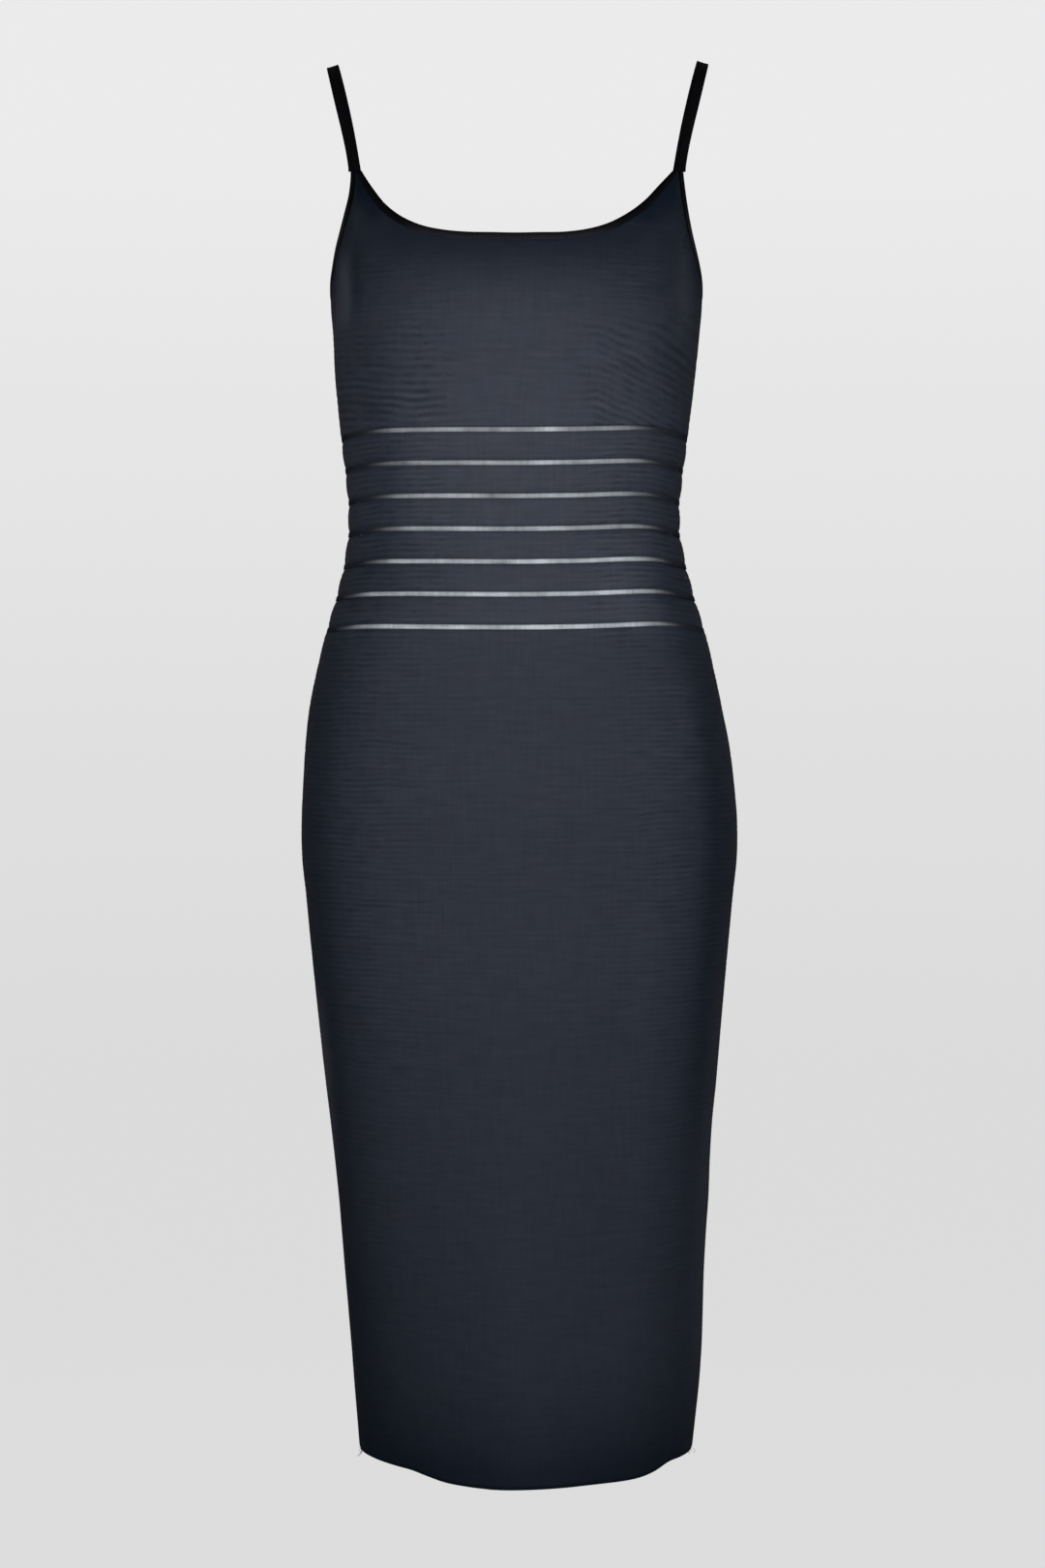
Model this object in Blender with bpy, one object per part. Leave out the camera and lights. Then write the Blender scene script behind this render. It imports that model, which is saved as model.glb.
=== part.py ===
# Bodycon dress with narrow straps: a worn, hollow garment of knitted bands.
#
# Metres, +Z up. The front faces -Y and the wearer's left is at +X. The origin
# lies between the shoulders, 3 mm above the tops of the two straps, and every
# height is given as a drop below it. Each piece of cloth is a closed wall of
# its own, and neighbouring pieces stand SEAM_GAP apart.

import math
from collections import namedtuple

import bmesh
import bpy
import numpy as np
from mathutils import Vector

# ---------------------------------------------------------------- dimensions

SEAM_GAP = 0.0003
CLOTH_WALL = 0.0015
SHEER_WALL = 0.0010
SHEER_INSET = 0.0005
BINDING_WALL = 0.0020
BINDING_PROUD = 0.0004

STRIPE_COUNT = 7
FIRST_STRIPE_DROP = 0.2943
STRIPE_PITCH = 0.0250
STRIPE_HEIGHT = 0.0038
HEM_DROP = 1.1050

STRAP_WIDTH = 0.0098
STRAP_END_WIDTH = 0.0080
STRAP_CREST_X = 0.1448
STRAP_CREST_DROP = {"left": 0.0014, "right": 0.0044}
STRAP_CREST_SLOPE = math.radians(17)
STRAP_BEND = 1.25
PEAK_WIDTH = 0.0112
NECK_BINDING_WIDTH = 0.0060
ARM_BINDING_WIDTH = 0.0080
ARM_BINDING_TOP_WIDTH = 0.0055

UNDERARM_DROP = 0.1780
ARMHOLE_FULLNESS = 1.6
STRAP_BASE_DROP = {"front": 0.0940, "back": 0.1000}
ARMHOLE_HALF_WIDTH = {"front": 0.0580, "back": 0.0580}

# The body under the cloth, at drops below the origin: half the width, the
# depth to the front and to the back, how full the section is (2 is an ellipse,
# less is a pointed one), how far its middle leans to +X, and how much of
# STRIPE_LIFT and of HEM_LIFT its courses follow.
Section = namedtuple("Section", "drop half_width front back fullness lean stripe hem")
SECTIONS = [
    Section(0.000, 0.1520, 0.066, 0.070, 2.25, -0.0001, 0.0, 0.0),
    Section(0.094, 0.1490, 0.092, 0.090, 2.25, -0.0008, 0.0, 0.0),
    Section(0.143, 0.1453, 0.106, 0.096, 2.25, -0.0014, 0.0, 0.0),
    Section(0.185, 0.1464, 0.115, 0.097, 2.25, -0.0011, 0.2, 0.0),
    Section(0.212, 0.1445, 0.1125, 0.095, 2.25, -0.0012, 0.4, 0.0),
    Section(0.245, 0.1421, 0.1055, 0.091, 2.25, -0.0021, 0.7, 0.0),
    Section(0.290, 0.1373, 0.0955, 0.086, 2.25, -0.0027, 1.0, 0.0),
    Section(0.358, 0.1307, 0.0885, 0.082, 2.25, -0.0030, 1.0, 0.0),
    Section(0.395, 0.1359, 0.092, 0.088, 2.25, -0.0022, 1.0, 0.0),
    Section(0.447, 0.1503, 0.100, 0.101, 2.25, -0.0018, 1.0, 0.0),
    Section(0.500, 0.1622, 0.106, 0.113, 2.25, -0.0018, 0.6, 0.0),
    Section(0.550, 0.1694, 0.107, 0.120, 2.25, 0.0002, 0.3, 0.0),
    Section(0.611, 0.1730, 0.106, 0.122, 2.25, 0.0013, 0.1, 0.0),
    Section(0.665, 0.1685, 0.105, 0.117, 2.25, 0.0013, 0.0, 0.0),
    Section(0.757, 0.1600, 0.104, 0.109, 2.15, 0.0018, 0.0, 0.0),
    Section(0.800, 0.1560, 0.103, 0.106, 2.10, 0.0024, 0.0, 0.0),
    Section(0.850, 0.1508, 0.103, 0.103, 2.05, 0.0030, 0.0, 0.0),
    Section(0.888, 0.1482, 0.103, 0.101, 2.00, 0.0045, 0.0, 0.0),
    Section(0.942, 0.1444, 0.104, 0.099, 1.92, 0.0050, 0.0, 0.0),
    Section(1.034, 0.1394, 0.106, 0.097, 1.76, 0.0071, 0.0, 0.2),
    Section(1.105, 0.1336, 0.107, 0.096, 1.62, 0.0064, 0.0, 1.0),
]

# How far the stripes and the hem rise above level, across the front from side
# seam (-1) to side seam (+1). At the back they only change at the seams.
Lift = namedtuple("Lift", "across rise")
STRIPE_LIFT = [
    Lift(-1.00, -0.0020),
    Lift(-0.75, 0.0008),
    Lift(-0.35, 0.0003),
    Lift(0.00, 0.0000),
    Lift(0.35, 0.0007),
    Lift(0.75, 0.0028),
    Lift(1.00, -0.0020),
]
HEM_LIFT = [
    Lift(-1.00, 0.0052),
    Lift(-0.70, 0.0048),
    Lift(-0.45, -0.0004),
    Lift(-0.20, -0.0014),
    Lift(0.05, -0.0002),
    Lift(0.35, -0.0002),
    Lift(0.64, -0.0014),
    Lift(0.75, 0.0006),
    Lift(0.85, 0.0050),
    Lift(1.00, 0.0052),
]

# How far the front armhole on the -X side is drawn in from its cut.
Draw = namedtuple("Draw", "drop inward")
ARMHOLE_DRAW = [
    Draw(0.0937, 0.0008),
    Draw(0.1070, 0.0026),
    Draw(0.1200, 0.0018),
    Draw(0.1330, 0.0004),
    Draw(0.1500, -0.0013),
    Draw(0.1650, 0.0010),
    Draw(0.1780, 0.0000),
]

# Half of each neckline, from its middle (0) to the strap's inner edge (1), and
# how much higher it sits on the +X side than its drop and lower on the other.
NeckPoint = namedtuple("NeckPoint", "across drop tilt")
NECKLINES = {
    "front": [
        NeckPoint(0.00, 0.1472, 0.0000),
        NeckPoint(0.30, 0.1463, 0.0000),
        NeckPoint(0.50, 0.1427, 0.0006),
        NeckPoint(0.65, 0.1358, 0.0016),
        NeckPoint(0.81, 0.1223, 0.0025),
        NeckPoint(0.91, 0.1083, 0.0021),
        NeckPoint(1.00, 0.0940, 0.0000),
    ],
    "back": [
        NeckPoint(0.00, 0.1900, 0.0000),
        NeckPoint(0.30, 0.1880, 0.0000),
        NeckPoint(0.55, 0.1795, 0.0000),
        NeckPoint(0.75, 0.1620, 0.0000),
        NeckPoint(0.90, 0.1350, 0.0000),
        NeckPoint(1.00, 0.1000, 0.0000),
    ],
}

# How finely each piece is divided.
RING_STEPS = 360
EDGE_STEPS = 200
HALF_RING_COLUMNS = 22
NECK_COLUMNS = 8
ARMHOLE_COLUMNS = 7
BODICE_ROWS = 8
SKIRT_ROWS = 22
STRAP_ROWS = 18
STRAP_TAPER_ROWS = 4

KNIT = ("charcoal_knit", (0.026, 0.031, 0.041), 0.78)
SHEER = ("sheer_mesh", (0.360, 0.350, 0.390), 0.45)
BINDING = ("black_binding", (0.008, 0.008, 0.011), 0.62)


# ------------------------------------------------------------ smooth tables

def smooth_curve(rows):
    """Give a function that reads a table along a curve with no overshoot."""
    table = np.array(rows, dtype=float)
    keys = table[:, 0]
    steps = np.diff(keys)[:, None]
    slopes = np.diff(table, axis=0) / steps
    product = slopes[:-1] * slopes[1:]
    total = np.where(product > 0, slopes[:-1] + slopes[1:], 1.0)
    tangents = np.vstack([slopes[:1], np.where(product > 0, 2 * product / total, 0), slopes[-1:]])

    def read(key):
        row = int(np.clip(np.searchsorted(keys, key) - 1, 0, len(keys) - 2))
        step = steps[row]
        t = (key - keys[row]) / step
        return ((1 + 2 * t) * (1 - t) ** 2 * table[row] + t * (1 - t) ** 2 * step * tangents[row]
                + t * t * (3 - 2 * t) * table[row + 1] + t * t * (t - 1) * step * tangents[row + 1])

    return read


read_section = smooth_curve(SECTIONS)
read_stripe_lift = smooth_curve(STRIPE_LIFT)
read_hem_lift = smooth_curve(HEM_LIFT)
read_armhole_draw = smooth_curve(ARMHOLE_DRAW)
read_neck = {face: smooth_curve(rows) for face, rows in NECKLINES.items()}


# ------------------------------------------------------------- the body form

def ring(section, inset):
    """Half a section from the front middle round +X to the back middle."""
    angles = np.linspace(0, math.pi, RING_STEPS + 1)
    out = np.sin(angles)
    deep = np.clip(1 - out ** section.fullness, 0, 1) ** (1 / section.fullness)
    depth = np.where(angles < math.pi / 2, -(section.front - inset), section.back - inset)
    return (section.half_width - inset) * out, depth * deep


def ring_lengths(section):
    """Length round the outer section up to each of its points."""
    x, y = ring(section, 0)
    return np.concatenate([[0], np.cumsum(np.hypot(np.diff(x), np.diff(y)))])


def reach(face, section):
    """Length round a section from the middle of a face to its side seam."""
    lengths = ring_lengths(section)
    seam = lengths[RING_STEPS // 2]
    return seam if face == "front" else lengths[-1] - seam


def on_body(face, side, arc, drop, inset=0.0):
    """Point at a length `arc` round from the middle of a face, `inset` inside the surface."""
    section = Section(*read_section(drop))
    lengths = ring_lengths(section)
    along = arc if face == "front" else lengths[-1] - arc
    x_line, y_line = ring(section, inset)
    x = np.interp(along, lengths, x_line)
    y = np.interp(along, lengths, y_line)
    across = min(x / section.half_width, 1.0)
    rise = 0
    for share, read_lift in ((section.stripe, read_stripe_lift), (section.hem, read_hem_lift)):
        rise += share * (read_lift(side * across)[1] if y < 0 else read_lift(side)[1] * across ** 2)
    return Vector((section.lean + side * x, y, rise - drop))


def arc_at(face, x, drop):
    """Length round from the middle of a face to where the surface is x out from it."""
    section = Section(*read_section(drop))
    x_line, _ = ring(section, 0)
    lengths = ring_lengths(section)
    half = RING_STEPS // 2
    if face == "front":
        return np.interp(x, x_line[:half + 1], lengths[:half + 1])
    return lengths[-1] - np.interp(x, x_line[half:][::-1], lengths[half:][::-1])


# --------------------------------------------------- neckline and armhole edges

def moved_sideways(points, distance):
    """A line of points moved to its left by a distance, which may change along it."""
    tangent = np.gradient(points, axis=0)
    tangent /= np.linalg.norm(tangent, axis=1)[:, None]
    left = np.stack([-tangent[:, 1], tangent[:, 0]], axis=1)
    return points + left * np.reshape(distance, (-1, 1))


def sampled(lines, steps):
    """The same places along several lines, evenly spaced on the first one."""
    run = np.concatenate([[0], np.cumsum(np.linalg.norm(np.diff(lines[0], axis=0), axis=1))])
    places = np.linspace(0, run[-1], steps + 1)
    return [np.stack([np.interp(places, run, line[:, k]) for k in (0, 1)], axis=1) for line in lines]


def armhole_line(face, side):
    """(arc, drop) along an armhole's edge, from the strap down to the underarm."""
    base = STRAP_BASE_DROP[face]
    turn = np.linspace(0, math.pi / 2, EDGE_STEPS)
    drops = base + (UNDERARM_DROP - base) * np.sin(turn) ** (2 / ARMHOLE_FULLNESS)
    widths = ARMHOLE_HALF_WIDTH[face] * np.cos(turn) ** (2 / ARMHOLE_FULLNESS)
    if face == "front" and side < 0:
        widths += [read_armhole_draw(drop)[1] for drop in drops]
    arcs = [reach(face, Section(*read_section(drop))) - width for drop, width in zip(drops, widths)]
    return np.stack([arcs, drops], axis=1)


def neck_line(face, side, top_arc):
    """(arc, drop) along half a neckline's edge, from its middle up to the strap."""
    base_section = Section(*read_section(STRAP_BASE_DROP[face]))
    lengths = ring_lengths(base_section)
    along = top_arc if face == "front" else lengths[-1] - top_arc
    top_x = np.interp(along, lengths, ring(base_section, 0)[0])
    rows = [read_neck[face](across) for across in np.linspace(0, 1, EDGE_STEPS)]
    return np.array([(arc_at(face, across * top_x, drop - side * tilt), drop - side * tilt)
                     for across, drop, tilt in rows])


Edges = namedtuple("Edges", "neck armhole cloth")


def bodice_edges(face, side):
    """Edge samples of half a face, each row an (arc, drop).

    neck is [outer, inner] of its binding from the middle up, armhole is [outer, inner] of
    its binding from the strap down, and cloth is the panel's own edge from the middle to
    its peak between the bindings, and down to the underarm.
    """
    base = STRAP_BASE_DROP[face]
    arm = armhole_line(face, side)
    arm_width = np.linspace(ARM_BINDING_TOP_WIDTH, ARM_BINDING_WIDTH, EDGE_STEPS)
    arm_lines = sampled([arm, moved_sideways(arm, arm_width),
                         moved_sideways(arm, arm_width + SEAM_GAP)], ARMHOLE_COLUMNS)
    neck = neck_line(face, side, arm[0, 0] - PEAK_WIDTH)
    neck_lines = sampled([neck, moved_sideways(neck, NECK_BINDING_WIDTH),
                          moved_sideways(neck, NECK_BINDING_WIDTH + SEAM_GAP)], NECK_COLUMNS)

    for line in arm_lines:
        line[-1, 0] = reach(face, Section(*read_section(line[-1, 1])))
    join_arc = arm[0, 0] - ARM_BINDING_TOP_WIDTH
    arm_lines[1][0] = (join_arc, base)
    neck_lines[1][-1] = (join_arc - SEAM_GAP, base)
    peak = (join_arc - SEAM_GAP, base + 2 * SEAM_GAP)
    cloth = np.vstack([neck_lines[2][:-1], peak, arm_lines[2][1:]])
    return Edges(neck_lines[:2], arm_lines[:2], cloth)


# --------------------------------------------------------------- making cloth

def finish_material(finish):
    """The material of a finish, made once."""
    name, colour, roughness = finish
    material = bpy.data.materials.get(name)
    if material is None:
        material = bpy.data.materials.new(name)
        material.use_nodes = True
        shader = material.node_tree.nodes["Principled BSDF"]
        shader.inputs["Base Color"].default_value = (*colour, 1)
        shader.inputs["Roughness"].default_value = roughness
        shader.inputs["Metallic"].default_value = 0
    return material


def cloth_wall(name, columns, rows, place, finish):
    """A closed wall of cloth: a flat grid pulled out to a second layer, then laid on the body.

    place(column, row, layer) gives each point, with layer 0 outside and layer 1 inside.
    """
    builder = bmesh.new()
    bmesh.ops.create_grid(builder, x_segments=columns, y_segments=rows, size=0.5)
    pulled = bmesh.ops.extrude_face_region(builder, geom=builder.faces[:])["geom"]
    for vertex in pulled:
        if isinstance(vertex, bmesh.types.BMVert):
            vertex.co.z = 1
    for vertex in builder.verts:
        column = round((vertex.co.x + 0.5) * columns)
        row = round((vertex.co.y + 0.5) * rows)
        vertex.co = place(column, row, round(vertex.co.z))
    if builder.calc_volume(signed=True) < 0:
        bmesh.ops.reverse_faces(builder, faces=builder.faces[:])
    mesh = bpy.data.meshes.new(name)
    builder.to_mesh(mesh)
    builder.free()
    mesh.shade_smooth()
    mesh.set_sharp_from_angle(angle=math.radians(40))
    mesh.materials.append(finish_material(finish))
    piece = bpy.data.objects.new(name, mesh)
    piece.parent = shoulders
    garment.objects.link(piece)
    return piece


def half_ring(name, face, top_drop, bottom_drop, rows, inset, wall, finish):
    """A level band round one face of the body, from side seam to side seam."""
    half = HALF_RING_COLUMNS // 2

    def place(column, row, layer):
        drop = top_drop + (bottom_drop - top_drop) * row / rows
        along = (column - half) / half
        arc = abs(along) * (reach(face, Section(*read_section(drop))) - SEAM_GAP / 2)
        return on_body(face, math.copysign(1, along), arc, drop, inset + wall * layer)

    return cloth_wall(name, HALF_RING_COLUMNS, rows, place, finish)


# -------------------------------------------------------------------- pieces

def bodice_panel(face, edges):
    """Front or back of the bodice, from neckline and armholes down to the first stripe."""
    bottom_drop = FIRST_STRIPE_DROP - STRIPE_HEIGHT / 2
    half = NECK_COLUMNS + ARMHOLE_COLUMNS

    def place(column, row, layer):
        side = 1 if column > half else -1
        top_arc, top_drop = edges[face, side].cloth[abs(column - half)]
        share = top_arc / reach(face, Section(*read_section(top_drop)))
        drop = top_drop + (bottom_drop - top_drop) * row / BODICE_ROWS
        arc = min(share, 1) * (reach(face, Section(*read_section(drop))) - SEAM_GAP / 2)
        return on_body(face, side, arc, drop, CLOTH_WALL * layer)

    return cloth_wall(f"bodice_{face}", 2 * half, BODICE_ROWS, place, KNIT)


def neck_binding(face, edges):
    """The folded edging along one neckline."""

    def place(column, row, layer):
        side = 1 if column > NECK_COLUMNS else -1
        arc, drop = edges[face, side].neck[row][abs(column - NECK_COLUMNS)]
        return on_body(face, side, arc, drop, BINDING_WALL * layer - BINDING_PROUD)

    return cloth_wall(f"neck_binding_{face}", 2 * NECK_COLUMNS, 1, place, BINDING)


def armhole_binding(name, side, edges):
    """The folded edging round one armhole, from the front strap end under the arm to the back."""
    last = ARMHOLE_COLUMNS

    def place(column, row, layer):
        face = "front" if column <= last else "back"
        arc, drop = edges[face, side].armhole[row][last - abs(last - column)]
        return on_body(face, side, arc, drop, BINDING_WALL * layer - BINDING_PROUD)

    return cloth_wall(name, 2 * last, 1, place, BINDING)


def strap(name, side, edges):
    """A strap from the front peak over the shoulder to the back peak, narrower at its ends.

    It bends out to its crest late on its way up, as STRAP_BEND says (1 is evenly).
    """
    ends = {}
    for face in ("front", "back"):
        arm_arc = edges[face, side].armhole[0][0, 0]
        drop = STRAP_BASE_DROP[face] - SEAM_GAP
        ends[face] = [on_body(face, side, arc, drop, -BINDING_PROUD)
                      for arc in (arm_arc - STRAP_END_WIDTH, arm_arc)]
    crest_across = Vector((side * math.cos(STRAP_CREST_SLOPE), 0, -math.sin(STRAP_CREST_SLOPE)))
    crest_drop = STRAP_CREST_DROP[name[6:]] + STRAP_WIDTH / 2 * math.sin(STRAP_CREST_SLOPE)
    lean = SECTIONS[0].lean

    def middle(turn):
        """Middle of the strap at an angle over the shoulder, 0 in front and half a turn behind."""
        inner, outer = ends["front" if turn < math.pi / 2 else "back"]
        base = (inner + outer) / 2
        climb = math.sin(turn)
        crest_x = lean + side * STRAP_CREST_X
        x = base.x + (crest_x - base.x) * climb ** STRAP_BEND
        z = base.z * (1 - climb) - crest_drop * climb
        return Vector((x, base.y * abs(math.cos(turn)), z))

    def place(column, row, layer):
        turn = math.pi * row / STRAP_ROWS
        inner, outer = ends["front" if turn < math.pi / 2 else "back"]
        end_across = (outer - inner).normalized()
        across = end_across.lerp(crest_across, math.sin(turn) ** 2)
        step = math.radians(1)
        run = middle(min(turn + step, math.pi)) - middle(max(turn - step, 0))
        if 0 < row < STRAP_ROWS:
            across -= run * across.dot(run) / run.length_squared
        across.normalize()
        inward = side * run.cross(across).normalized()
        end_width = (outer - inner).length
        full = min(row, STRAP_ROWS - row, STRAP_TAPER_ROWS) / STRAP_TAPER_ROWS
        width = end_width + (STRAP_WIDTH - end_width) * full * full * (3 - 2 * full)
        return middle(turn) + across * (column - 0.5) * width + inward * BINDING_WALL * layer

    return cloth_wall(name, 1, STRAP_ROWS, place, BINDING)


def stripe_drop(number):
    """Level of the middle of a stripe, counted from 0 at the top."""
    return FIRST_STRIPE_DROP + STRIPE_PITCH * number


def build_dress():
    edges = {(face, side): bodice_edges(face, side) for face in ("front", "back") for side in (1, -1)}
    for face in ("front", "back"):
        bodice_panel(face, edges)
        neck_binding(face, edges)
        for number in range(STRIPE_COUNT):
            top = stripe_drop(number) - STRIPE_HEIGHT / 2 + SEAM_GAP
            bottom = stripe_drop(number) + STRIPE_HEIGHT / 2 - SEAM_GAP
            half_ring(f"sheer_{face}_{number + 1}", face, top, bottom, 1,
                      SHEER_INSET, SHEER_WALL, SHEER)
        for number in range(STRIPE_COUNT - 1):
            top = stripe_drop(number) + STRIPE_HEIGHT / 2
            bottom = stripe_drop(number + 1) - STRIPE_HEIGHT / 2
            half_ring(f"band_{face}_{number + 1}", face, top, bottom, 1, 0, CLOTH_WALL, KNIT)
        skirt_top = stripe_drop(STRIPE_COUNT - 1) + STRIPE_HEIGHT / 2
        half_ring(f"skirt_{face}", face, skirt_top, HEM_DROP, SKIRT_ROWS, 0, CLOTH_WALL, KNIT)
    for hand, side in (("left", 1), ("right", -1)):
        armhole_binding(f"armhole_binding_{hand}", side, edges)
        strap(f"strap_{hand}", side, edges)


# --------------------------------------------------------------------- scene

for leftover in list(bpy.data.objects):
    bpy.data.objects.remove(leftover, do_unlink=True)

garment = bpy.data.collections.new("bodycon_dress")
bpy.context.scene.collection.children.link(garment)
shoulders = bpy.data.objects.new("shoulders", None)
shoulders.empty_display_size = 0.05
garment.objects.link(shoulders)

build_dress()
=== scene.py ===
import math

import bpy
import numpy as np
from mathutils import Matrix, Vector


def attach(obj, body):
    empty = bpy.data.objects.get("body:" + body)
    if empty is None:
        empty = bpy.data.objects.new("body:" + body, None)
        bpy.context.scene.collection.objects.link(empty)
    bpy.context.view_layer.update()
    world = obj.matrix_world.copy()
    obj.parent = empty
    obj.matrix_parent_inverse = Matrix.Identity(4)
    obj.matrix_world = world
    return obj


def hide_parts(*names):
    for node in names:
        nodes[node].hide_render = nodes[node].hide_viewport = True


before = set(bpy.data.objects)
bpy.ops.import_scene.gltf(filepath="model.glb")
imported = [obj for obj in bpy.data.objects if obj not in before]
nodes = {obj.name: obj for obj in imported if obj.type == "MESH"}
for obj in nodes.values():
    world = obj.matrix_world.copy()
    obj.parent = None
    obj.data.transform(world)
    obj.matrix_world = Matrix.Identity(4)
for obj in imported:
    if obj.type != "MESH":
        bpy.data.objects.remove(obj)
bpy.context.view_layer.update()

scene = bpy.context.scene
stripeCount = 7
print("frame loaded:", len(nodes), "nodes")


# camera and studio

camera = {
    "place": (0.0037, -2.425, -0.462),
    "lookDown": math.radians(2.5),
    "lens": 70.2,
    "sensor": 36,
    "sight": 60,
}

studio = {
    "floorHeight": -1.42,
    "floorRadius": 4.6,
    "floorSides": 96,
    "sweepRadius": 2.2,
    "sweepSteps": 12,
    "wallHeight": 5.0,
    "floorTone": (0.71, 0.71, 0.71),
    "wallTone": (0.83, 0.83, 0.83),
    "wallToneFrom": 1.0,
    "paper": (0.02, 0.02, 0.02),
    "ambient": (0.003, 0.005, 0.011),
}

lamps = [
    # name, place, aimed at, width, height, watts, seen in the cloth's sheen
    ("chestSoftbox", (0.0, -1.9, -0.25), (0.0, 0.0, -0.30), 1.6, 0.4, 21.3, True),
    ("leftFill", (-2.0, -1.9, -0.30), (0.0, 0.0, -0.50), 0.8, 1.4, 1.9, True),
    ("rightFill", (2.0, -1.9, -0.30), (0.0, 0.0, -0.50), 0.8, 1.4, 5.0, True),
    ("leftWash", (-2.6, -0.2, -0.30), (0.0, 0.0, -0.50), 0.6, 1.6, 1.2, False),
    ("rightWash", (2.6, 0.2, -0.30), (0.0, 0.0, -0.50), 0.6, 1.6, 1.2, False),
    ("backSoftbox", (0.0, 1.9, -0.25), (0.0, 0.0, -0.30), 1.6, 0.4, 21.3, False),
    ("backLeftFill", (-2.0, 1.9, -0.30), (0.0, 0.0, -0.50), 0.8, 1.4, 3.0, False),
    ("backRightFill", (2.0, 1.9, -0.30), (0.0, 0.0, -0.50), 0.8, 1.4, 3.0, False),
]


def deselectAll():
    if bpy.context.object and bpy.context.object.mode != "OBJECT":
        bpy.ops.object.mode_set(mode="OBJECT")
    bpy.ops.object.select_all(action="DESELECT")


def pick(piece):
    deselectAll()
    piece.select_set(True)
    bpy.context.view_layer.objects.active = piece


def addCamera():
    bpy.ops.object.camera_add(location=camera["place"])
    eye = bpy.context.object
    eye.name = "studioCamera"
    eye.rotation_euler = (math.radians(90) - camera["lookDown"], 0, 0)
    eye.data.lens = camera["lens"]
    eye.data.sensor_width = camera["sensor"]
    eye.data.clip_end = camera["sight"]
    scene.camera = eye


def addLamps():
    for name, place, aim, width, height, watts, inSheen in lamps:
        bpy.ops.object.light_add(type="AREA", location=place)
        lamp = bpy.context.object
        lamp.name = name
        lamp.rotation_euler = (Vector(aim) - Vector(place)).to_track_quat("-Z", "Y").to_euler()
        lamp.data.shape = "RECTANGLE"
        lamp.data.size = width
        lamp.data.size_y = height
        lamp.data.energy = watts
        lamp.visible_camera = False
        lamp.visible_glossy = inSheen


def addStudioShell():
    # a round floor that sweeps up into a wall, so no corner shows from any side
    floor, sweep = studio["floorHeight"], studio["sweepRadius"]
    deselectAll()
    bpy.ops.mesh.primitive_circle_add(vertices=studio["floorSides"], radius=studio["floorRadius"],
                                      fill_type="NGON", location=(0, 0, floor))
    shell = bpy.context.object
    shell.name = "studioShell"
    bpy.ops.object.mode_set(mode="EDIT")
    bpy.ops.mesh.select_all(action="SELECT")
    bpy.ops.mesh.poke()
    bpy.ops.mesh.select_all(action="DESELECT")
    bpy.ops.mesh.select_non_manifold()
    steps = studio["sweepSteps"]
    reach = studio["floorRadius"]
    for step in range(1, steps + 1):
        turn = math.radians(90) * step / steps
        before = math.radians(90) * (step - 1) / steps
        wider = studio["floorRadius"] + sweep * math.sin(turn)
        rise = sweep * (math.cos(before) - math.cos(turn))
        bpy.ops.mesh.extrude_edges_move(TRANSFORM_OT_translate={"value": (0, 0, rise)})
        bpy.ops.transform.resize(value=(wider / reach, wider / reach, 1),
                                 center_override=(0, 0, 0))
        reach = wider
    bpy.ops.mesh.extrude_edges_move(TRANSFORM_OT_translate={"value": (0, 0, studio["wallHeight"])})
    bpy.ops.object.mode_set(mode="OBJECT")
    bpy.ops.object.transform_apply(location=True, rotation=True, scale=True)
    bpy.ops.object.shade_smooth()
    shell.visible_diffuse = False
    shell.visible_glossy = False
    shell.visible_shadow = False

    finish = bpy.data.materials.new("studioPaper")
    finish.use_nodes = True
    tree = finish.node_tree
    shader = tree.nodes["Principled BSDF"]
    where = tree.nodes.new("ShaderNodeTexCoord")
    axes = tree.nodes.new("ShaderNodeSeparateXYZ")
    height = tree.nodes.new("ShaderNodeMapRange")
    height.inputs["From Min"].default_value = floor
    height.inputs["From Max"].default_value = studio["wallToneFrom"]
    tone = tree.nodes.new("ShaderNodeValToRGB")
    tone.color_ramp.elements[0].color = (*studio["floorTone"], 1)
    tone.color_ramp.elements[1].color = (*studio["wallTone"], 1)
    tree.links.new(where.outputs["Object"], axes.inputs[0])
    tree.links.new(axes.outputs["Z"], height.inputs["Value"])
    tree.links.new(height.outputs["Result"], tone.inputs["Fac"])
    tree.links.new(tone.outputs["Color"], shader.inputs["Emission Color"])
    shader.inputs["Emission Strength"].default_value = 1.0
    shader.inputs["Base Color"].default_value = (*studio["paper"], 1)
    shader.inputs["Roughness"].default_value = 1.0
    shader.inputs["Specular IOR Level"].default_value = 0.0
    shell.data.materials.append(finish)

    sky = bpy.data.worlds.new("studioAir")
    sky.use_nodes = True
    sky.node_tree.nodes["Background"].inputs["Color"].default_value = (*studio["ambient"], 1)
    scene.world = sky


addCamera()
addLamps()
addStudioShell()
scene.view_settings.view_transform = "Standard"
print("studio ready")


# reading the walls of the frame

reading = {
    "merge": 0.00002,
    "facing": 0.55,  # how squarely a face of the wall's outer side faces outwards
    "atSeam": 0.001,
    "shoulder": (0.085, 0.1),  # how far out and how far down the middle of a strap's bend lies
    "cornerShare": 0.2,  # the share of a panel's height in which a corner of its top edge fades
}


def outwardFromBody(point):
    return Vector((point.x, point.y, 0)).normalized()


def outwardFromShoulder(point):
    out, down = reading["shoulder"]
    return Vector((point.x - math.copysign(out, point.x), point.y, point.z + down)).normalized()


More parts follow.
